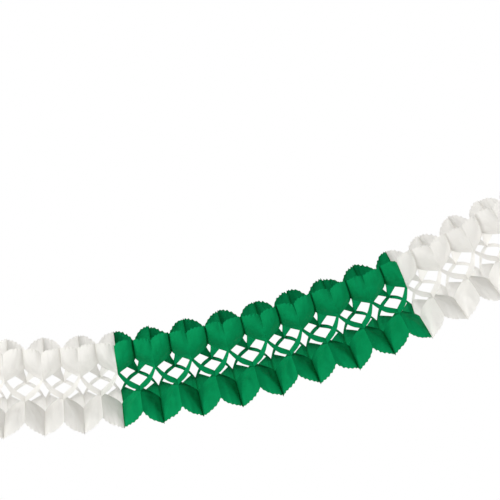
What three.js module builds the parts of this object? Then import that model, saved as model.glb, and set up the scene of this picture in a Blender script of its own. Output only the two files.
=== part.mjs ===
// Paper garland: a hung length of die-cut tissue leaves, white, then green, then white again.
// Every leaf is one sheet, a ring of four narrow strips with four petals. A leaf is glued to the leaf
// on its right along one edge of each petal, and to the leaf on its left along the other edge, so the
// pulled-out stack opens into a zigzag of tulip shapes with a lattice along its middle.
// Millimetres, +X along the strand, +Z up, +Y away from the front. The origin is the upper end.

import * as THREE from 'three';

// Strand
const LEAF_PITCH = 29.4; // from one leaf to the next, measured along the middle of the strand
const SWAG_RADIUS = 1510; // the hung strand curves upward around a centre this far above it
const LOWER_END_SLOPE = -1.8; // degrees, slope of the strand at its lower end
const WHITE_RUN = 8; // leaves in each white run
const GREEN_RUN = 16; // leaves in the green run

// Leaf, as it stands in the pulled-out garland
const SHEET = 0.4; // thickness of a leaf
const GLUE_GAP = 0.3; // left between two leaves where they are glued
const STRIP_BOW = 6.5; // the outer edge of a strip bows this far towards its glued end
const STRIP_INNER_BOW = 2.5; // and its inner edge this far
const STRIP_BOW_SHIFT = 1.3; // above 1 the bow lies nearer the root of the strip
const STRIP_STEPS = 3; // facets along one strip
const FOOT_SAG = 1.5; // the foot of a petal bows this far into the ring
const CREST_EDGE = 55; // length of a petal's crest, the glued edge that stands out at the upper front
const RECESS_EDGE = 50; // length of its recess, the glued edge that lies back at the upper front
const FLANK = 0.55; // shape of the fold from crest to recess, from 0, a round wave, to 1, a straight slope
const TOOTH_DEPTH = 1.4; // of the pinking along the rim
const TEETH = 6; // along one rim
const SLIT_WIDE = 15; // a slit on the recess, where the glue has parted, is widest this far from the ring
const SLIT_END = 30; // and ends here

// Each petal in turn, round the ring from the upper front over the top to the lower front. Its crest and
// its recess start at a radius and angle on the ring and run on at a second angle, in degrees from
// straight back turning up. The neck is the width of the strip glued on its recess, the root the share
// of its foot that carries the strip at its crest, and the shoulder how far that root rises along the
// ring. Its rim bows out, its lobe swells on its outer face, which is the side named, and its slit
// stands open by half its width.
const PETALS = [
  {
    crest: { radius: 32.4, foot: 156.5, along: 118 },
    recess: { radius: 37.5, foot: 109, along: 143.5 },
    neck: 8, root: 0.16, shoulder: 0, rimBow: 7, lobe: 7, outer: 1, slit: 0,
  },
  {
    crest: { radius: 36, foot: 70, along: 46 },
    recess: { radius: 32.4, foot: 22, along: 61.5 },
    neck: 6, root: 0.2, shoulder: 0, rimBow: 9, lobe: 3, outer: -1, slit: 4,
  },
  {
    crest: { radius: 32.4, foot: -30, along: -38 },
    recess: { radius: 28, foot: -62, along: -26 },
    neck: 8, root: 0.27, shoulder: 8, rimBow: 6, lobe: 4, outer: 1, slit: 0,
  },
  {
    crest: { radius: 37, foot: -112.5, along: -142 },
    recess: { radius: 32.4, foot: -156.5, along: -135.5 },
    neck: 12, root: 0.2, shoulder: 0, rimBow: 5, lobe: 3, outer: -1, slit: 0,
  },
];

const WHITE = { name: 'white', finish: { color: 0xe8e4de, roughness: 0.9, metalness: 0 } };
const GREEN = { name: 'green', finish: { color: 0x0a7a48, roughness: 0.85, metalness: 0 } };

// Derived sizes
const SWING = (LEAF_PITCH - SHEET - GLUE_GAP) / 2; // how far a leaf swings to each side of its own plane
const PITCH_ANGLE = LEAF_PITCH / SWAG_RADIUS;
const LEAF_COUNT = 2 * WHITE_RUN + GREEN_RUN;
const RIM_FACETS = 2 * TEETH;
const END_SPREAD = 0.1; // how far apart the points on the recess reach along the rim

// Point of the leaf plane at a distance and angle from its middle: back is y, up is z.
function polar(radius, degrees) {
  const angle = THREE.MathUtils.degToRad(degrees);
  return new THREE.Vector3(0, radius * Math.cos(angle), radius * Math.sin(angle));
}

// The sheet folds over from the crest, place 0, to the recess, place 1.
function foldedAt(place) {
  return SWING * THREE.MathUtils.lerp(Math.cos(Math.PI * place), 1 - 2 * place, FLANK);
}

// Foot, slit and rim of one petal, as rows of points with the place between crest and recess that they
// reach towards. The foot ends on the recess, at the inner and the outer edge of the strip glued there.
function petalRows({ crest, recess, neck, root, shoulder, rimBow, lobe, outer, slit }) {
  const crestStart = polar(crest.radius, crest.foot);
  const recessStart = polar(recess.radius, recess.foot);
  const inward = polar(-1, (crest.foot + recess.foot) / 2);
  const towardsStrip = polar(1, crest.foot + 90);
  const outward = polar(1, (crest.along + recess.along) / 2);
  const outerFace = polar(outer, (crest.along + recess.along) / 2 + 90);

  const onRecess = (distance, open = 0) => {
    const point = recessStart.clone().add(polar(distance, recess.along));
    return point.setX(foldedAt(1) + open);
  };
  const crestCorner = crestStart.clone().add(polar(CREST_EDGE, crest.along));
  const recessCorner = onRecess(RECESS_EDGE);
  const stripInner = onRecess(-neck / 2);

  const foot = [0, root, 1 - root].map((place) => {
    const point = crestStart.clone().lerp(stripInner, place);
    const rise = Math.min(place / root, (1 - place) / (1 - root));
    point.addScaledVector(inward, FOOT_SAG * Math.sin(Math.PI * place));
    point.addScaledVector(towardsStrip, shoulder * rise);
    point.x = foldedAt(place);
    return { place, point };
  });
  foot.push({ place: 1, point: stripInner }, { place: 1 - END_SPREAD, point: onRecess(neck / 2) });

  const parted = [
    { place: 1 - 3 * END_SPREAD, point: onRecess(SLIT_WIDE, slit) },
    { place: 1 - END_SPREAD, point: onRecess(SLIT_END) },
  ];

  const rim = [];
  for (let i = 0; i <= RIM_FACETS; i += 1) {
    const place = i / RIM_FACETS;
    const arch = Math.sin(Math.PI * place);
    const tooth = i % 2 === 1 ? -TOOTH_DEPTH : 0;
    const point = crestCorner.clone().lerp(recessCorner, place);
    point.addScaledVector(outward, rimBow * arch + tooth);
    point.addScaledVector(outerFace, lobe * arch);
    point.x = foldedAt(place);
    rim.push({ place, point });
  }
  return { foot, parted: slit > 0 ? parted : [], rim };
}

// A sheet collects points and triangles of the leaf's middle surface.
function newSheet() {
  return { points: [], triangles: [] };
}

function addRow(sheet, row) {
  return row.map(({ place, point }) => {
    sheet.points.push(point);
    return { place, id: sheet.points.length - 1 };
  });
}

// Fills the surface between two rows whose places run the same way.
function zip(sheet, lower, upper) {
  let i = 0;
  let j = 0;
  while (i < lower.length - 1 || j < upper.length - 1) {
    const lowerNext = i < lower.length - 1 ? lower[i].place + lower[i + 1].place : Infinity;
    const upperNext = j < upper.length - 1 ? upper[j].place + upper[j + 1].place : Infinity;
    if (lowerNext < upperNext) {
      sheet.triangles.push([lower[i].id, lower[i + 1].id, upper[j].id]);
      i += 1;
    } else {
      sheet.triangles.push([lower[i].id, upper[j + 1].id, upper[j].id]);
      j += 1;
    }
  }
}

// A strip from the recess of one petal, where it is glued, to the crest end of the next petal's foot.
// Both its edges bow back towards the glued end, the outer one more.
function addStrip(sheet, fromFoot, toFoot) {
  const [innerStart, outerStart] = fromFoot.slice(3);
  const [outerEnd, innerEnd] = toFoot;
  const along = sheet.points[outerEnd.id].clone().sub(sheet.points[outerStart.id]);
  along.setX(0).normalize();
  const edgeRow = (start, end, bow) => {
    const row = [{ place: 0, id: start.id }];
    for (let i = 1; i < STRIP_STEPS; i += 1) {
      const place = i / STRIP_STEPS;
      const point = sheet.points[start.id].clone().lerp(sheet.points[end.id], place);
      point.addScaledVector(along, -bow * Math.sin(Math.PI * place ** STRIP_BOW_SHIFT));
      row.push(...addRow(sheet, [{ place, point }]));
    }
    row.push({ place: 1, id: end.id });
    return row;
  };
  const inner = edgeRow(innerStart, innerEnd, STRIP_INNER_BOW);
  zip(sheet, inner, edgeRow(outerStart, outerEnd, STRIP_BOW));
}

// Gives the middle surface its thickness and closes it along its free edges.
function thicken({ points, triangles }) {
  const normals = points.map(() => new THREE.Vector3());
  const edgeA = new THREE.Vector3();
  const edgeB = new THREE.Vector3();
  for (const [a, b, c] of triangles) {
    edgeA.subVectors(points[b], points[a]);
    edgeB.subVectors(points[c], points[a]);
    const normal = edgeA.cross(edgeB).normalize();
    normals[a].add(normal);
    normals[b].add(normal);
    normals[c].add(normal);
  }
  normals.forEach((normal) => normal.setLength(SHEET / 2));

  const count = points.length;
  const front = points.map((point, i) => point.clone().add(normals[i]));
  const back = points.map((point, i) => point.clone().sub(normals[i]));
  const faces = [];
  const directed = new Set(triangles.flatMap(([a, b, c]) => [`${a},${b}`, `${b},${c}`, `${c},${a}`]));
  for (const [a, b, c] of triangles) {
    faces.push([a, b, c], [a + count, c + count, b + count]);
    for (const [from, to] of [[a, b], [b, c], [c, a]]) {
      if (!directed.has(`${to},${from}`)) {
        faces.push([from, from + count, to], [to, from + count, to + count]);
      }
    }
  }
  return { points: [...front, ...back], faces };
}

// Bends the straight leaf to the curve of the strand and makes its geometry. The leaves take turns:
// hand 1 swings its crests to the right, hand -1 is its mirror image.
function leafGeometry(hand) {
  const sheet = newSheet();
  const petals = PETALS.map((petal) => {
    const { foot, parted, rim } = petalRows(petal);
    return { foot: addRow(sheet, foot), parted: addRow(sheet, parted), rim: addRow(sheet, rim) };
  });
  petals.forEach(({ foot, parted, rim }, index) => {
    const [free, inner, outer] = foot.slice(2);
    sheet.triangles.push([free.id, inner.id, outer.id]);
    if (parted.length > 0) {
      sheet.triangles.push([free.id, outer.id, parted[0].id]);
      zip(sheet, [...foot.slice(0, 3), ...parted], rim);
    } else {
      zip(sheet, [...foot.slice(0, 3), outer], rim);
    }
    addStrip(sheet, foot, petals[(index + 1) % petals.length].foot);
  });

  const { points, faces } = thicken(sheet);
  const bent = points.flatMap(({ x, y, z }) => {
    const angle = (hand * x) / SWAG_RADIUS;
    const radius = SWAG_RADIUS - z;
    return [radius * Math.sin(angle), y, SWAG_RADIUS - radius * Math.cos(angle)];
  });
  const indices = faces.flatMap(([a, b, c]) => (hand > 0 ? [a, b, c] : [a, c, b]));

  const geometry = new THREE.BufferGeometry();
  geometry.setAttribute('position', new THREE.Float32BufferAttribute(bent, 3));
  geometry.setIndex(indices);
  geometry.computeVertexNormals();
  return geometry;
}

// Point of the strand's middle line where it slopes by the given angle.
function strandPoint(slope) {
  return new THREE.Vector3(SWAG_RADIUS * Math.sin(slope), 0, SWAG_RADIUS * (1 - Math.cos(slope)));
}

const lowerSlope = THREE.MathUtils.degToRad(LOWER_END_SLOPE);
const upperEnd = strandPoint(lowerSlope + LEAF_COUNT * PITCH_ANGLE);
const rightHanded = leafGeometry(1);
const leftHanded = leafGeometry(-1);
const named = new Map();

// Hangs one leaf of the given tissue at its place along the strand, counted from the lower end.
function hangLeaf(strand, tissue, index) {
  const slope = lowerSlope + (index + 0.5) * PITCH_ANGLE;
  const geometry = index % 2 === 1 ? rightHanded : leftHanded;
  const leaf = new THREE.Mesh(geometry, new THREE.MeshStandardMaterial(tissue.finish));
  const number = (named.get(tissue.name) ?? 0) + 1;
  named.set(tissue.name, number);
  leaf.name = `${tissue.name}_leaf_${String(number).padStart(2, '0')}`;
  leaf.position.copy(strandPoint(slope)).sub(upperEnd);
  leaf.rotation.y = -slope;
  strand.add(leaf);
}

const garland = new THREE.Group();
for (let index = 0; index < LEAF_COUNT; index += 1) {
  const inGreenRun = index >= WHITE_RUN && index < WHITE_RUN + GREEN_RUN;
  hangLeaf(garland, inGreenRun ? GREEN : WHITE, index);
}

export default garland;
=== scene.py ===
import math

import bpy
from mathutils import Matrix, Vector


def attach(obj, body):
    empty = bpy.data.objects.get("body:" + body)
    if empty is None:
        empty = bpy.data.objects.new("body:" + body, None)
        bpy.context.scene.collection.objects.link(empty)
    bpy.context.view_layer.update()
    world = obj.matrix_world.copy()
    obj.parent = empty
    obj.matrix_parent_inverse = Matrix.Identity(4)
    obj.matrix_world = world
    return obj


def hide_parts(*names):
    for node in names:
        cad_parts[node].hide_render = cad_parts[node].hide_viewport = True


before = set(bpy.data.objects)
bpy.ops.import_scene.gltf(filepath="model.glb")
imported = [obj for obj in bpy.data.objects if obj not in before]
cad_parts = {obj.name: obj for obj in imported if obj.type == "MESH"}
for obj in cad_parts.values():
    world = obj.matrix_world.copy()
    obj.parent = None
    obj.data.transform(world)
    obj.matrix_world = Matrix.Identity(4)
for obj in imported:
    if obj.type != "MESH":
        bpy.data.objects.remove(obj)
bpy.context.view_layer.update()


# Petals
# Every leaf carries four petals of tissue paper, die-cut in one with it and pinked along the rim. Each is
# folded between two glued edges, its crest and its recess, half a pitch to either side of the leaf, and
# the loose paper between them bulges, curls and creases.
LEAF_PITCH = 0.0294
SWING = LEAF_PITCH / 2
FLANK = 0.55  # shape of the fold, from 0, a round wave, to 1, a straight slope
FOOT_SAG = 0.0015
TEETH = 6
TOOTH_DEPTH = 0.002
TOOTH_SHARE = (0.3, 1.5)  # least and most of that depth
TOOTH_CHANGE = (4.0, 5.3, 3.7)  # how fast that changes along a rim, by petal and by leaf
TOOTH_FADE = 24.0  # a high power keeps the teeth at the rim
NOISE_SPAN = (0.3, 0.7)  # most values of a noise lie between these
SLIT_SHIFT = 1.15  # over 1, a slit is widest beyond its middle
SLIT_FADE = 6.0  # a high power keeps the slit by the recess
CREASE_REACH = 0.55  # share of the petal over which a crease falls off to either side
CREASE_FALL = 1.15  # 1 is a straight fall
CREASE_FOOT = 0.12  # share of the petal's height over which a crease rises from the foot
LOBE_SHIFT = 1.2  # over 1, a lobe is fullest nearer the recess
RIM_CURL = 0.0035
CURL_START = 0.72  # share of the petal's height where the rim starts to curl
CURL_POWER = 2.0
SLACK = (0.02, 0.3)  # shares of the petal's height where paper comes loose and where it is quite slack
PETAL_COLUMNS = 40
PETAL_ROWS = 34
STRIP_COLUMNS = 10  # those of the petal's columns and rows that a strip joins


def add(tree, kind, *values, **settings):
    """Adds a node, sets its options, then links or sets its inputs in their order."""
    made = tree.nodes.new(kind)
    for name, value in settings.items():
        setattr(made, name, value)
    for socket, value in zip([s for s in made.inputs if s.enabled], values):
        if isinstance(value, bpy.types.Node):
            value = next(s for s in value.outputs if s.enabled)
        if isinstance(value, bpy.types.NodeSocket):
            tree.links.new(value, socket)
        elif value is not None:
            socket.default_value = value
    return made


def shape_tree(name, **sockets):
    """A geometry tree with named inputs, and the outputs of its group input."""
    tree = bpy.data.node_groups.new(name, "GeometryNodeTree")
    for label, kind in sockets.items():
        tree.interface.new_socket(label.replace("_", " "), in_out="INPUT", socket_type="NodeSocket" + kind)
    tree.interface.new_socket("Leaf", in_out="OUTPUT", socket_type="NodeSocketGeometry")
    return tree, tree.nodes.new("NodeGroupInput").outputs


def half_wave(tree, place, power=1.0):
    """Rises from 0 to 1 and falls to 0 again as the place runs from 0 to 1."""
    shifted = add(tree, "ShaderNodeMath", place, power, operation="POWER")
    turn = add(tree, "ShaderNodeMath", shifted, math.pi, operation="MULTIPLY")
    return add(tree, "ShaderNodeMath", turn, operation="SINE")


def split(tree, place, share, at):
    """Spreads a place over 0 to 1 so that its first share ends at a given place."""
    first = add(tree, "ShaderNodeMapRange", place, 0.0, share, 0.0, at)
    rest = add(tree, "ShaderNodeMath", 1.0, at, operation="SUBTRACT")
    second = add(tree, "ShaderNodeMapRange", place, share, 1.0, 0.0, rest)
    return add(tree, "ShaderNodeMath", first, second, operation="ADD")


def folded(tree, place):
    """Share of the swing at a place between crest and recess: a wave with straightened flanks."""
    turn = add(tree, "ShaderNodeMath", place, math.pi, operation="MULTIPLY")
    wave = add(tree, "ShaderNodeMath", turn, operation="COSINE")
    flank = add(tree, "ShaderNodeMath", place, -2.0, 1.0, operation="MULTIPLY_ADD")
    return add(tree, "ShaderNodeMix", FLANK, wave, flank)


def foot_line(tree, place, size):
    """Foot of a petal, bowed a little into the ring; the root of a strip may rise beside its crest."""
    straight = add(tree, "ShaderNodeMix", place, size["Crest Foot"], size["Strip Inner"], data_type="VECTOR")
    depth = add(tree, "ShaderNodeMath", half_wave(tree, place), FOOT_SAG, operation="MULTIPLY")
    sag = add(tree, "ShaderNodeVectorMath", size["Inward"], depth, operation="SCALE")
    rising = add(tree, "ShaderNodeMapRange", place, 0.0, size["Root"], 0.0, 1.0)
    falling = add(tree, "ShaderNodeMapRange", place, size["Root"], 1.0, 1.0, 0.0)
    rise = add(tree, "ShaderNodeMath", rising, falling, operation="MULTIPLY")
    rise = add(tree, "ShaderNodeVectorMath", size["Shoulder"], rise, operation="SCALE")
    point = add(tree, "ShaderNodeVectorMath", straight, sag, operation="ADD")
    return add(tree, "ShaderNodeVectorMath", point, rise, operation="ADD")


def petal_tree():
    """One petal. Its place runs from crest to recess and out from foot to rim, both from 0 to 1."""
    tree, size = shape_tree(
        "petal", Crest_Foot="Vector", Crest_Corner="Vector", Strip_Inner="Vector", Recess_Corner="Vector",
        Inward="Vector", Shoulder="Vector", Outward="Vector", Outer_Face="Vector", Root="Float",
        Neck="Float", Bow="Float", Lobe="Float", Belly="Float", Slit="Float", Slit_Start="Float",
        Slit_End="Float", Crease="Float", From_Recess="Float", Petal="Float", Number="Int")
    grid = add(tree, "GeometryNodeMeshGrid", 1.0, 1.0, PETAL_COLUMNS + 1, PETAL_ROWS + 1)
    column, row, _ = add(tree, "ShaderNodeSeparateXYZ", grid.outputs["UV Map"]).outputs
    place = split(tree, column, STRIP_COLUMNS / PETAL_COLUMNS, size["Root"])
    out = split(tree, row, STRIP_COLUMNS / PETAL_ROWS, size["Neck"])
    arch = half_wave(tree, place)
    foot = foot_line(tree, place, size)

    # The rim bows out between the glue lines and is pinked all along, deeper here and shallower there.
    reach = add(tree, "ShaderNodeMath", arch, size["Bow"], operation="MULTIPLY")
    edge = add(tree, "ShaderNodeMix", place, size["Crest Corner"], size["Recess Corner"], data_type="VECTOR")
    bow = add(tree, "ShaderNodeVectorMath", size["Outward"], reach, operation="SCALE")
    rim = add(tree, "ShaderNodeVectorMath", edge, bow, operation="ADD")
    flat = add(tree, "ShaderNodeMix", out, foot, rim, data_type="VECTOR")
    teeth = add(tree, "ShaderNodeMath", place, 2 * math.pi * TEETH, operation="MULTIPLY")
    tooth = add(tree, "ShaderNodeMath", teeth, operation="COSINE")
    tooth = add(tree, "ShaderNodeMath", tooth, TOOTH_DEPTH / 2, -TOOTH_DEPTH / 2, operation="MULTIPLY_ADD")
    ragged = add(tree, "ShaderNodeCombineXYZ", place, size["Petal"], size["Number"])
    ragged = add(tree, "ShaderNodeVectorMath", ragged, TOOTH_CHANGE, operation="MULTIPLY")
    ragged = add(tree, "ShaderNodeTexNoise", ragged, 1.0, 1.0)
    ragged = add(tree, "ShaderNodeMapRange", ragged, *NOISE_SPAN, *TOOTH_SHARE)
    tooth = add(tree, "ShaderNodeMath", tooth, ragged, operation="MULTIPLY")
    by_rim = add(tree, "ShaderNodeMath", out, TOOTH_FADE, operation="POWER")
    tooth = add(tree, "ShaderNodeMath", tooth, by_rim, operation="MULTIPLY")
    notch = add(tree, "ShaderNodeVectorMath", size["Outward"], tooth, operation="SCALE")
    flat = add(tree, "ShaderNodeVectorMath", flat, notch, operation="ADD")

    # Where the glue has parted, the two leaves stand open on the recess.
    slit = add(tree, "ShaderNodeMapRange", out, size["Slit Start"], size["Slit End"], 0.0, 1.0)
    slit = half_wave(tree, slit, SLIT_SHIFT)
    by_recess = add(tree, "ShaderNodeMath", place, SLIT_FADE, operation="POWER")
    slit = add(tree, "ShaderNodeMath", slit, by_recess, operation="MULTIPLY")
    slit = add(tree, "ShaderNodeMath", slit, size["Slit"], operation="MULTIPLY")
    swing = add(tree, "ShaderNodeMath", folded(tree, place), SWING, slit, operation="MULTIPLY_ADD")

    # A soft crease runs across the petal from one end of its foot to the opposite corner of the rim.
    rising = add(tree, "ShaderNodeMath", place, out, operation="SUBTRACT")
    falling = add(tree, "ShaderNodeMath", place, out, operation="ADD")
    falling = add(tree, "ShaderNodeMath", falling, -1.0, operation="ADD")
    across = add(tree, "ShaderNodeMix", size["From Recess"], rising, falling)
    across = add(tree, "ShaderNodeMath", across, operation="ABSOLUTE")
    ridge = add(tree, "ShaderNodeMapRange", across, 0.0, CREASE_REACH, 1.0, 0.0)
    ridge = add(tree, "ShaderNodeMath", ridge, CREASE_FALL, operation="POWER")
    ridge = add(tree, "ShaderNodeMath", ridge, arch, operation="MULTIPLY")
    off_foot = add(tree, "ShaderNodeMapRange", out, 0.0, CREASE_FOOT, 0.0, 1.0)
    ridge = add(tree, "ShaderNodeMath", ridge, off_foot, operation="MULTIPLY")
    ridge = add(tree, "ShaderNodeMath", ridge, size["Crease"], operation="MULTIPLY")

    # On the outer face the lobe swells towards the rim and the belly halfway up, and the rim curls back.
    swell = add(tree, "ShaderNodeMath", half_wave(tree, place, LOBE_SHIFT), out, operation="MULTIPLY")
    lift = add(tree, "ShaderNodeMath", swell, size["Lobe"], ridge, operation="MULTIPLY_ADD")
    above = add(tree, "ShaderNodeMapRange", out, size["Neck"], 1.0, 0.0, 1.0)
    lift = add(tree, "ShaderNodeMath", half_wave(tree, above), size["Belly"], lift, operation="MULTIPLY_ADD")
    curl = add(tree, "ShaderNodeMapRange", out, CURL_START, 1.0, 0.0, 1.0)
    curl = add(tree, "ShaderNodeMath", curl, CURL_POWER, operation="POWER")
    curl = add(tree, "ShaderNodeMath", curl, arch, operation="MULTIPLY")
    lift = add(tree, "ShaderNodeMath", curl, -RIM_CURL, lift, operation="MULTIPLY_ADD")
    lift = add(tree, "ShaderNodeVectorMath", size["Outer Face"], lift, operation="SCALE")
    side = add(tree, "ShaderNodeCombineXYZ", swing, 0.0, 0.0)
    point = add(tree, "ShaderNodeVectorMath", flat, side, operation="ADD")
    point = add(tree, "ShaderNodeVectorMath", point, lift, operation="ADD")
    leaf = add(tree, "GeometryNodeSetPosition", grid, None, point)

    # The sheet remembers which glue line lies in a valley, where the paper gets painted shade, how slack it
    # is and where on the petal it was.
    other_way = add(tree, "ShaderNodeMath", 1.0, place, operation="SUBTRACT")
    valley_shade = add(tree, "ShaderNodeMix", size["From Recess"], place, other_way)
    loose = add(tree, "ShaderNodeMapRange", out, *SLACK, 0.0, 1.0)
    slack = add(tree, "ShaderNodeMath", loose, arch, operation="MULTIPLY")
    pattern = add(tree, "ShaderNodeCombineXYZ", place, out, size["Petal"])
    leaf = add(tree, "GeometryNodeStoreNamedAttribute", leaf, None, "valley_shade", valley_shade)
    leaf = add(tree, "GeometryNodeStoreNamedAttribute", leaf, None, "slack", slack)
    leaf = add(
        tree, "GeometryNodeStoreNamedAttribute", leaf, None, "sheet", pattern, data_type="FLOAT_VECTOR")
    add(tree, "NodeGroupOutput", leaf)
    return tree


# Strips
# Four narrow strips of the same sheet of tissue paper join the petals into a ring. One end of a strip is
# glued on the recess of a petal and the other grows out of the foot of the next petal, so that the
# pulled-out strips cross as a lattice.
STRIP_BOW = 0.0065
STRIP_INNER_BOW = 0.0025
STRIP_BOW_SHIFT = 1.3  # over 1, a strip bows most beyond its middle
STRIP_SLACK = 0.25  # of a petal's
STRIP_ROWS = 18


def strip_tree():
    """One strip: across runs from 0 on the ring's inside to 1, and along from 0 at the glued end to 1."""
    tree, size = shape_tree(
        "strip", Start_Inner="Vector", Start_Corner="Vector", Neck="Float", Crest_Foot="Vector",
        Strip_Inner="Vector", Inward="Vector", Shoulder="Vector", Root="Float", Petal="Float")
    grid = add(tree, "GeometryNodeMeshGrid", 1.0, 1.0, STRIP_COLUMNS + 1, STRIP_ROWS + 1)
    across, along, _ = add(tree, "ShaderNodeSeparateXYZ", grid.outputs["UV Map"]).outputs
    neck = add(tree, "ShaderNodeMath", across, size["Neck"], operation="MULTIPLY")
    start = add(tree, "ShaderNodeMix", neck, size["Start Inner"], size["Start Corner"], data_type="VECTOR")
    root = add(tree, "ShaderNodeMath", 1.0, across, operation="SUBTRACT")
    root = add(tree, "ShaderNodeMath", root, size["Root"], operation="MULTIPLY")
    end = foot_line(tree, root, size)
    flat = add(tree, "ShaderNodeMix", along, start, end, data_type="VECTOR")

    # Both edges bow towards the glued end, the outer one more.
    run = add(tree, "ShaderNodeVectorMath", size["Start Inner"], size["Crest Foot"], operation="SUBTRACT")
    run = add(tree, "ShaderNodeVectorMath", run, operation="NORMALIZE")
    most = add(tree, "ShaderNodeMix", across, STRIP_INNER_BOW, STRIP_BOW)
    bow = add(tree, "ShaderNodeMath", half_wave(tree, along, STRIP_BOW_SHIFT), most, operation="MULTIPLY")
    bow = add(tree, "ShaderNodeVectorMath", run, bow, operation="SCALE")
    point = add(tree, "ShaderNodeVectorMath", flat, bow, operation="ADD")
    end_swing = add(tree, "ShaderNodeMath", folded(tree, root), SWING, operation="MULTIPLY")
    swing = add(tree, "ShaderNodeMix", along, -SWING, end_swing)
    side = add(tree, "ShaderNodeCombineXYZ", swing, 0.0, 0.0)
    point = add(tree, "ShaderNodeVectorMath", point, side, operation="ADD")

    # Its faces are turned to look the same way as those of the petals it joins.
    leaf = add(tree, "GeometryNodeSetPosition", grid, None, point)
    leaf = add(tree, "GeometryNodeFlipFaces", leaf)
    slack = add(tree, "ShaderNodeMath", half_wave(tree, along), STRIP_SLACK, operation="MULTIPLY")
    place = add(tree, "ShaderNodeMix", along, 1.0, root)
    pattern = add(tree, "ShaderNodeCombineXYZ", place, along, size["Petal"])
    leaf = add(tree, "GeometryNodeStoreNamedAttribute", leaf, None, "slack", slack)
    leaf = add(
        tree, "GeometryNodeStoreNamedAttribute", leaf, None, "sheet", pattern, data_type="FLOAT_VECTOR")
    add(tree, "NodeGroupOutput", leaf)
    return tree


# Leaf
# Petals and strips are one die-cut sheet of tissue paper. Leaves are glued back to back, by their crests on
# one side and their recesses on the other, so the stack opens into a zigzag when it is pulled out, and the
# glued strand hangs in a shallow swag.
SHEET = 0.00012  # real tissue is about a quarter of this
CREST_EDGE = 0.055
RECESS_EDGE = 0.050
SLIT_START = 0.009
SLIT_END = 0.034
WELD = 0.00002
LOOSE = 0.0016  # how far a glued corner, a bow, a lobe or a crease strays
SLIP = 0.0022  # how far each leaf of a seam slips along the glue line by itself
PULL = 0.0016  # how far a seam strays along the strand
WRINKLE = 0.0028
WRINKLE_CHANGE = (3.0, 1.3, 7.3)  # how fast wrinkles change across a petal, along it and by petal
WRINKLE_DETAIL = 2.0
WRINKLE_ROUGHNESS = 0.45
CRINKLE = 0.0014
CRINKLE_CHANGE = (1.7, 1.5, 5.9)
NUMBER_CHANGE = 3.7  # how fast wrinkles and crinkles change by leaf
NOISE_MIDDLE = 0.5
NOISE_STRAY = 0.25  # a noise strays about this far from its middle
SHARP_FOLD = math.radians(55)
CORNER_SEED = 11
SWELL_SEEDS = {"bow": 12, "lobe": 13, "crease": 15}
PULL_SEED = 14
SLIP_SEEDS = {"Crest Corner": 16, "Recess Corner": 17}
SWAG_RADIUS = 1.51
LOWER_END_SLOPE = math.radians(-1.8)
PITCH_ANGLE = LEAF_PITCH / SWAG_RADIUS
WHITE_LEAVES = 8  # in each of the two white runs
GREEN_LEAVES = 16
LEAF_COUNT = WHITE_LEAVES + GREEN_LEAVES + WHITE_LEAVES

# Each petal round the ring, from the upper front over the top to the lower front. Its crest and its recess
# have the radius and angle of their foot and the angle they run on at, in degrees from straight back turning
# up. The neck is the width of the strip glued on its recess, the root the share of its foot that carries the
# strip at its crest, and the shoulder how far that root rises. The tip is added to the crest's length. The
# rim bows, and the lobe and the belly swell on the outer face, the side that the sign of outer names. The
# slit is half its width, and the crease is the height of a fold that starts at the crest's end of the foot,
# or where from_recess is 1 at the recess's end.
PETALS = (
    {
        "crest": (0.0324, 156.5, 118), "recess": (0.0375, 109, 143.5), "tip": -0.004, "neck": 0.008,
        "root": 0.16, "shoulder": 0.0, "bow": 0.008, "lobe": 0.007, "belly": 0.006, "outer": 1,
        "slit": 0.0, "crease": 0.0015, "from_recess": 0.0,
    },
    {
        "crest": (0.036, 70, 46), "recess": (0.0324, 17, 65), "tip": 0.003, "neck": 0.0065,
        "root": 0.2, "shoulder": 0.0, "bow": 0.0075, "lobe": 0.003, "belly": 0.004, "outer": -1,
        "slit": 0.0042, "crease": 0.002, "from_recess": 1.0,
    },
    {
        "crest": (0.0324, -30, -38), "recess": (0.0305, -64, -26), "tip": 0.0, "neck": 0.008,
        "root": 0.27, "shoulder": 0.008, "bow": 0.006, "lobe": 0.004, "belly": 0.003, "outer": 1,
        "slit": 0.0, "crease": 0.002, "from_recess": 1.0,
    },
    {
        "crest": (0.037, -112.5, -142), "recess": (0.0324, -156.5, -135.5), "tip": 0.003, "neck": 0.012,
        "root": 0.2, "shoulder": 0.0, "bow": 0.004, "lobe": 0.003, "belly": 0.003, "outer": -1,
        "slit": 0.0, "crease": 0.0035, "from_recess": 1.0,
    },
)


def in_plane(length, degrees):
    """Point of the leaf's plane: back is y, up is z."""
    angle = math.radians(degrees)
    return Vector((0, length * math.cos(angle), length * math.sin(angle)))


def strand_point(slope):
    """Point of the strand's middle line where it has this slope."""
    return Vector((SWAG_RADIUS * math.sin(slope), 0, SWAG_RADIUS * (1 - math.cos(slope))))


upper_end = strand_point(LOWER_END_SLOPE + LEAF_COUNT * PITCH_ANGLE)


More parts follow.
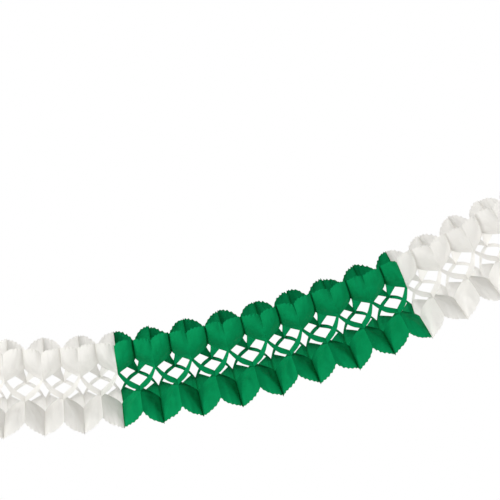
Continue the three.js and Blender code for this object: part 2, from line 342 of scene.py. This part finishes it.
def petal_sizes(tree, size, index, petal):
    """Inputs of one petal. Both leaves of a seam share how its corners stray, and each slips by itself."""
    crest_radius, crest_foot_at, crest_at = petal["crest"]
    recess_radius, recess_foot_at, recess_at = petal["recess"]
    crest_foot = in_plane(crest_radius, crest_foot_at)
    recess_foot = in_plane(recess_radius, recess_foot_at)
    outward = in_plane(1, (crest_at + recess_at) / 2)
    neck = petal["neck"]
    recess_length = RECESS_EDGE + neck / 2
    places = {
        "Crest Corner": ("Crest Seam", crest_foot + in_plane(CREST_EDGE + petal["tip"], crest_at), LOOSE),
        "Recess Corner": ("Recess Seam", recess_foot + in_plane(RECESS_EDGE, recess_at), LOOSE),
        "Crest Foot": ("Crest Seam", crest_foot, LOOSE / 2),
        "Strip Inner": ("Recess Seam", recess_foot - in_plane(neck / 2, recess_at), LOOSE / 2),
    }
    given = {
        "Inward": in_plane(-1, (crest_foot_at + recess_foot_at) / 2),
        "Shoulder": in_plane(petal["shoulder"], crest_foot_at + 90),
        "Outward": outward,
        "Outer Face": petal["outer"] * Vector((0, -outward.z, outward.y)),
        "Root": petal["root"],
        "Neck": neck / recess_length,
        "Belly": petal["belly"],
        "Slit": petal["slit"],
        "Slit Start": (SLIT_START + neck / 2) / recess_length,
        "Slit End": (SLIT_END + neck / 2) / recess_length,
        "From Recess": petal["from_recess"],
        "Petal": float(index),
        "Number": size["Number"],
    }
    for kind, (label, (seam, place, loose)) in enumerate(places.items()):
        keys_a_seam = float(len(PETALS) * len(places))
        own_key = float(len(places) * index + kind)
        key = add(tree, "ShaderNodeMath", size[seam], keys_a_seam, own_key, operation="MULTIPLY_ADD")
        least = Vector((0, place.y - loose, place.z - loose))
        most = Vector((0, place.y + loose, place.z + loose))
        given[label] = add(
            tree, "FunctionNodeRandomValue", least, most, key, CORNER_SEED, data_type="FLOAT_VECTOR")
    key = add(
        tree, "ShaderNodeMath", size["Number"], float(len(PETALS)), float(index), operation="MULTIPLY_ADD")
    for label, edge_at in (("Crest Corner", crest_at), ("Recess Corner", recess_at)):
        slip = add(tree, "FunctionNodeRandomValue", -SLIP, SLIP, key, SLIP_SEEDS[label], data_type="FLOAT")
        slip = add(tree, "ShaderNodeVectorMath", in_plane(1, edge_at), slip, operation="SCALE")
        given[label] = add(tree, "ShaderNodeVectorMath", given[label], slip, operation="ADD")
    for label, seed in SWELL_SEEDS.items():
        least = petal[label] - LOOSE
        most = petal[label] + LOOSE
        strayed = add(tree, "FunctionNodeRandomValue", least, most, key, seed, data_type="FLOAT")
        given[label.title()] = strayed
    return given


def leaf_tree():
    """A whole leaf at its place on the swag, opening to the left or right by the sign of its hand."""
    tree, size = shape_tree(
        "leaf", Hand="Float", Slope="Float", Crest_Seam="Int", Recess_Seam="Int", Number="Int",
        Tissue="Material")
    petal_shape = petal_tree()
    strip_shape = strip_tree()
    petals = [petal_sizes(tree, size, index, petal) for index, petal in enumerate(PETALS)]
    joined = tree.nodes.new("GeometryNodeJoinGeometry")
    for index, petal in enumerate(petals):
        strip = dict(petals[(index + 1) % len(petals)])
        strip.update({
            "Start Inner": petal["Strip Inner"], "Start Corner": petal["Recess Corner"],
            "Neck": petal["Neck"], "Petal": petal["Petal"],
        })
        for shape, given in ((petal_shape, petal), (strip_shape, strip)):
            labels = [socket.name for socket in shape.interface.items_tree if socket.in_out == "INPUT"]
            sheet = add(tree, "GeometryNodeGroup", *[given[label] for label in labels], node_tree=shape)
            tree.links.new(sheet.outputs[0], joined.inputs[0])
    leaf = add(tree, "GeometryNodeMergeByDistance", joined, None, WELD)

    # Where the paper is slack, soft wrinkles run from foot to rim, and a few sharp creases cross it.
    slack = add(tree, "GeometryNodeInputNamedAttribute", "slack", data_type="FLOAT")
    pattern = add(tree, "GeometryNodeInputNamedAttribute", "sheet", data_type="FLOAT_VECTOR")
    shift = add(tree, "ShaderNodeMath", size["Number"], NUMBER_CHANGE, operation="MULTIPLY")
    stretched = add(tree, "ShaderNodeVectorMath", pattern, WRINKLE_CHANGE, operation="MULTIPLY")
    wrinkle = add(
        tree, "ShaderNodeTexNoise", stretched, shift, 1.0, WRINKLE_DETAIL, WRINKLE_ROUGHNESS,
        noise_dimensions="4D")
    wrinkle = add(tree, "ShaderNodeMath", wrinkle, 2 * WRINKLE, -WRINKLE, operation="MULTIPLY_ADD")
    crossing = add(tree, "ShaderNodeVectorMath", pattern, CRINKLE_CHANGE, operation="MULTIPLY")
    crease = add(tree, "ShaderNodeTexNoise", crossing, shift, 1.0, 0.0, noise_dimensions="4D")
    crease = add(tree, "ShaderNodeMath", crease, -NOISE_MIDDLE, operation="ADD")
    crease = add(tree, "ShaderNodeMath", crease, operation="ABSOLUTE")
    height = add(tree, "ShaderNodeMath", crease, -CRINKLE / NOISE_STRAY, wrinkle, operation="MULTIPLY_ADD")
    height = add(tree, "ShaderNodeMath", height, slack, operation="MULTIPLY")
    lift = add(tree, "ShaderNodeVectorMath", add(tree, "GeometryNodeInputNormal"), height, operation="SCALE")
    leaf = add(tree, "GeometryNodeSetPosition", leaf, None, None, lift)

    # Each seam is pulled a little to the left or right of its even place.
    pulls = [
        add(tree, "FunctionNodeRandomValue", -PULL, PULL, size[seam], PULL_SEED, data_type="FLOAT")
        for seam in ("Crest Seam", "Recess Seam")]
    place = add(tree, "ShaderNodeSeparateXYZ", pattern)
    pull = add(tree, "ShaderNodeMix", place, *pulls)

    # The leaf hangs at its place on the swag and bends with it.
    position = add(tree, "GeometryNodeInputPosition")
    across, back, up = add(tree, "ShaderNodeSeparateXYZ", position).outputs
    turn = add(tree, "ShaderNodeMath", across, size["Hand"], pull, operation="MULTIPLY_ADD")
    turn = add(tree, "ShaderNodeMath", turn, 1 / SWAG_RADIUS, size["Slope"], operation="MULTIPLY_ADD")
    arm = add(tree, "ShaderNodeMath", SWAG_RADIUS, up, operation="SUBTRACT")
    sine = add(tree, "ShaderNodeMath", turn, operation="SINE")
    cosine = add(tree, "ShaderNodeMath", turn, operation="COSINE")
    right = add(tree, "ShaderNodeMath", arm, sine, -upper_end.x, operation="MULTIPLY_ADD")
    drop = add(tree, "ShaderNodeMath", arm, cosine, operation="MULTIPLY")
    high = add(tree, "ShaderNodeMath", SWAG_RADIUS - upper_end.z, drop, operation="SUBTRACT")
    hung = add(tree, "ShaderNodeCombineXYZ", right, back, high)
    leaf = add(tree, "GeometryNodeSetPosition", leaf, None, hung)
    leaf = add(tree, "GeometryNodeSetShadeSmooth", leaf)
    leaf = add(tree, "GeometryNodeRealizeInstances", leaf)
    leaf = add(tree, "GeometryNodeSetMaterial", leaf, None, size["Tissue"])
    add(tree, "NodeGroupOutput", leaf)
    return tree


folded_leaf = leaf_tree()


def hang_leaf(node, index, tissue):
    """One leaf at its place along the strand, counted from the lower end, instead of its plain solid."""
    leaf = bpy.data.objects.new("tissue_" + node, bpy.data.meshes.new("tissue_" + node))
    bpy.context.collection.objects.link(leaf)
    opens_right = index % 2 == 1
    given = {
        "Hand": 1.0 if opens_right else -1.0,
        "Slope": LOWER_END_SLOPE + (index + 0.5) * PITCH_ANGLE,
        "Crest Seam": index + 1 if opens_right else index,
        "Recess Seam": index if opens_right else index + 1,
        "Number": index,
        "Tissue": tissue,
    }
    shape = leaf.modifiers.new("fold", "NODES")
    shape.node_group = folded_leaf
    for socket in folded_leaf.interface.items_tree:
        if socket.in_out == "INPUT":
            shape[socket.identifier] = given[socket.name]
    paper = leaf.modifiers.new("paper", "SOLIDIFY")
    paper.thickness = SHEET
    paper.offset = 0
    made = bpy.data.meshes.new_from_object(leaf.evaluated_get(bpy.context.evaluated_depsgraph_get()))
    leaf.modifiers.clear()
    leaf.data = made
    made.name = leaf.name
    made.set_sharp_from_angle(angle=SHARP_FOLD)
    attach(leaf, "root")
    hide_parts(node)


# White leaves of the lower run
# Eight leaves of undyed white tissue paper, machine-made and uncoated, start the strand at its lower end.
# The first hangs free, and each leaf is glued to the next along four lines.
CLOUD = 0.014  # width of the pale and dense patches that show in tissue
FIBRE = 0.0016  # a fibre is too fine to show in the render, so it is drawn as coarse as a clump of them
CLOUD_DETAIL = (3.0, 0.55)
FIBRE_DETAIL = (2.0, 0.6)
FIBRE_SHARE = 0.35
PATCH_SPAN = (0.35, 0.65)
# The seam shade darkens valley seams: partly two layers and glue, partly painted shade in the fold.
SEAM_PLACE = (0.86, 1.0)  # shares of the way to a seam where its shade starts and where it is full
SEAM_SHADE = (0.0, 0.6)
ROUGHNESS = (0.65, 0.8)
GLOSS = 0.025  # far under the usual 0.5, as loose uncoated fibre scatters nearly all light
FIBRE_RELIEF = 0.12
FIBRE_HEIGHT = 0.0004


def linear(hexadecimal):
    """Linear colour of an sRGB hex value."""
    parts = [int(hexadecimal[i:i + 2], 16) / 255 for i in (1, 3, 5)]
    return [p / 12.92 if p <= 0.04045 else ((p + 0.055) / 1.055) ** 2.4 for p in parts] + [1.0]


def tissue_paper(name, pale, deep, glowing, let_through):
    """Machine-made tissue, coloured right through and uncoated.

    To the eye it is matt and a little cloudy, without gloss, and it glows where light falls on its far side.
    """
    made = bpy.data.materials.new(name)
    made.use_nodes = True
    tree = made.node_tree
    tree.nodes.clear()
    spot = add(tree, "ShaderNodeTexCoord").outputs["Object"]
    cloud = add(tree, "ShaderNodeTexNoise", spot, 1 / CLOUD, *CLOUD_DETAIL)
    fibre = add(tree, "ShaderNodeTexNoise", spot, 1 / FIBRE, *FIBRE_DETAIL)
    mixed = add(tree, "ShaderNodeMath", fibre, FIBRE_SHARE, operation="MULTIPLY")
    mixed = add(tree, "ShaderNodeMath", cloud, 1 - FIBRE_SHARE, mixed, operation="MULTIPLY_ADD")
    share = add(tree, "ShaderNodeMapRange", mixed, *PATCH_SPAN, 0.0, 1.0)
    colour = add(tree, "ShaderNodeMix", share, linear(pale), linear(deep), data_type="RGBA")

    # Along the seams that lie in a valley the colour is darkened: partly for the two layers and their glue,
    # and partly as painted shade in the fold.
    valley_shade = add(tree, "ShaderNodeAttribute", attribute_name="valley_shade").outputs["Fac"]
    seam = add(tree, "ShaderNodeMapRange", valley_shade, *SEAM_PLACE, *SEAM_SHADE)
    colour = add(tree, "ShaderNodeMix", seam, colour, linear(deep), data_type="RGBA", blend_type="MULTIPLY")

    rough = add(tree, "ShaderNodeMapRange", cloud, *NOISE_SPAN, *ROUGHNESS)
    relief = add(tree, "ShaderNodeBump", FIBRE_RELIEF, FIBRE_HEIGHT)
    tree.links.new(fibre.outputs["Fac"], relief.inputs["Height"])
    face = add(tree, "ShaderNodeBsdfPrincipled")
    face.inputs["Specular IOR Level"].default_value = GLOSS
    colour_out = next(s for s in colour.outputs if s.enabled)
    tree.links.new(colour_out, face.inputs["Base Color"])
    tree.links.new(rough.outputs[0], face.inputs["Roughness"])
    tree.links.new(relief.outputs[0], face.inputs["Normal"])
    glow = add(tree, "ShaderNodeBsdfTranslucent", linear(glowing))
    both = add(tree, "ShaderNodeMixShader", let_through, face, glow)
    add(tree, "ShaderNodeOutputMaterial", both)
    return made


# Undyed tissue lets much of the light through, so its folds stay pale.
white_tissue = tissue_paper(
    "white tissue paper", pale="#F4F3F0", deep="#EFEEEB", glowing="#F6F5F3", let_through=0.62)
for count in range(WHITE_LEAVES):
    hang_leaf(f"white_leaf_{count + 1:02d}", count, white_tissue)


# Green leaves
# Sixteen leaves of dyed green tissue paper follow, cut with the same die and folded the same way. They are
# glued to each other as the white ones are, and the first and the last are glued to a white leaf.
# The dye stops most of the light, so its folds are dark.
green_tissue = tissue_paper(
    "green tissue paper", pale="#07955A", deep="#078B52", glowing="#119860", let_through=0.05)
for count in range(GREEN_LEAVES):
    hang_leaf(f"green_leaf_{count + 1:02d}", WHITE_LEAVES + count, green_tissue)


# White leaves of the upper run
# Eight more leaves of the same white tissue paper end the strand, the first glued to the last green leaf.
# The last one hangs free, as the first of the lower run does.
for count in range(WHITE_LEAVES):
    place = WHITE_LEAVES + GREEN_LEAVES + count
    hang_leaf(f"white_leaf_{WHITE_LEAVES + count + 1:02d}", place, white_tissue)


# Floor
# A plain level floor of pale matt paint lies well below the strand and keeps its soft shadow. It is part of
# the stage and not of the garland.
FLOOR_LEVEL = -0.9
FLOOR_LEFT = -2.0
FLOOR_RIGHT = 1.0
FLOOR_FRONT = -0.7
FLOOR_BACK = 0.9
FLOOR_ROUGHNESS = 0.9

floor_corners = [
    (FLOOR_LEFT, FLOOR_FRONT, FLOOR_LEVEL), (FLOOR_RIGHT, FLOOR_FRONT, FLOOR_LEVEL),
    (FLOOR_RIGHT, FLOOR_BACK, FLOOR_LEVEL), (FLOOR_LEFT, FLOOR_BACK, FLOOR_LEVEL)]
floor_mesh = bpy.data.meshes.new("floor")
floor_mesh.from_pydata(floor_corners, [], [(0, 1, 2, 3)])
floor = bpy.data.objects.new("floor", floor_mesh)
bpy.context.collection.objects.link(floor)
paint = bpy.data.materials.new("pale matt floor")
paint.use_nodes = True
painted = paint.node_tree.nodes["Principled BSDF"].inputs
painted["Base Color"].default_value = linear("#F4F4F2")
painted["Roughness"].default_value = FLOOR_ROUGHNESS
floor_mesh.materials.append(paint)


# Light
# The camera sees a white backdrop that sends the paper only a weak light. Three soft boxes in front of the
# strand, two at the left and one at the right, shade its folds, and a weak one behind makes thin paper glow.
# Each has its place from the strand's middle and its width, in metres, and its power in watts.
AMBIENT = 0.15
BACKDROP = 1.0
SOFT_BOXES = (
    ("low", (-2.4, -2.7, -1.6), 1.0, 70),
    ("top", (-2.6, -2.4, 2.0), 1.0, 86),
    ("right", (3.2, -1.7, -0.6), 1.4, 64),
    ("back", (0.5, 3.4, 0.4), 1.2, 20),
)

scene = bpy.context.scene
scene.view_settings.view_transform = "Standard"
world = bpy.data.worlds.new("studio")
scene.world = world
world.use_nodes = True
studio = world.node_tree
studio.nodes.clear()
path = add(studio, "ShaderNodeLightPath").outputs
seen = add(studio, "ShaderNodeMath", path["Is Camera Ray"], path["Is Glossy Ray"], operation="MAXIMUM")
seen = add(studio, "ShaderNodeMath", seen, path["Is Transmission Ray"], operation="MAXIMUM")
strength = add(studio, "ShaderNodeMix", seen, AMBIENT, BACKDROP)
backdrop = add(studio, "ShaderNodeBackground", linear("#FFFFFF"), strength)
add(studio, "ShaderNodeOutputWorld", backdrop)

green_ends = [
    strand_point(LOWER_END_SLOPE + count * PITCH_ANGLE) - upper_end
    for count in (WHITE_LEAVES, WHITE_LEAVES + GREEN_LEAVES)]
strand_middle = (green_ends[0] + green_ends[1]) / 2
for name, offset, width, power in SOFT_BOXES:
    lamp = bpy.data.lights.new(name, "AREA")
    lamp.size = width
    lamp.energy = power
    soft_box = bpy.data.objects.new(name, lamp)
    soft_box.location = strand_middle + Vector(offset)
    soft_box.rotation_euler = Vector(offset).to_track_quat("Z", "Y").to_euler()
    bpy.context.collection.objects.link(soft_box)


# Camera
# A long lens looks at the strand's middle from a little above and a little to the left. The middle falls on
# a set pixel of the picture, and one pixel there covers a set length.
VIEW_DISTANCE = 3.85
PIXEL = 0.00155  # length that one pixel covers at the strand
IMAGE = 500  # pixels across the picture
MIDDLE_PIXEL = (263.9, 338.5)  # where the strand's middle falls
SENSOR = 36  # millimetres, as Blender counts a sensor
ABOVE = math.radians(3)
SIDE = math.radians(-2.5)
ROLL = math.radians(0.4)

focal = VIEW_DISTANCE / PIXEL
camera = bpy.data.cameras.new("camera")
camera.sensor_width = SENSOR
camera.lens = SENSOR * focal / IMAGE
viewer = bpy.data.objects.new("camera", camera)
viewer.location = strand_middle + VIEW_DISTANCE * Vector((
    math.sin(SIDE) * math.cos(ABOVE), -math.cos(SIDE) * math.cos(ABOVE), math.sin(ABOVE)))
pitch = -ABOVE + math.atan((MIDDLE_PIXEL[1] - IMAGE / 2) / focal)
yaw = SIDE + math.atan((MIDDLE_PIXEL[0] - IMAGE / 2) / focal)
viewer.rotation_euler = (math.pi / 2 + pitch, ROLL, yaw)
bpy.context.collection.objects.link(viewer)
scene.camera = viewer

bpy.context.view_layer.update()
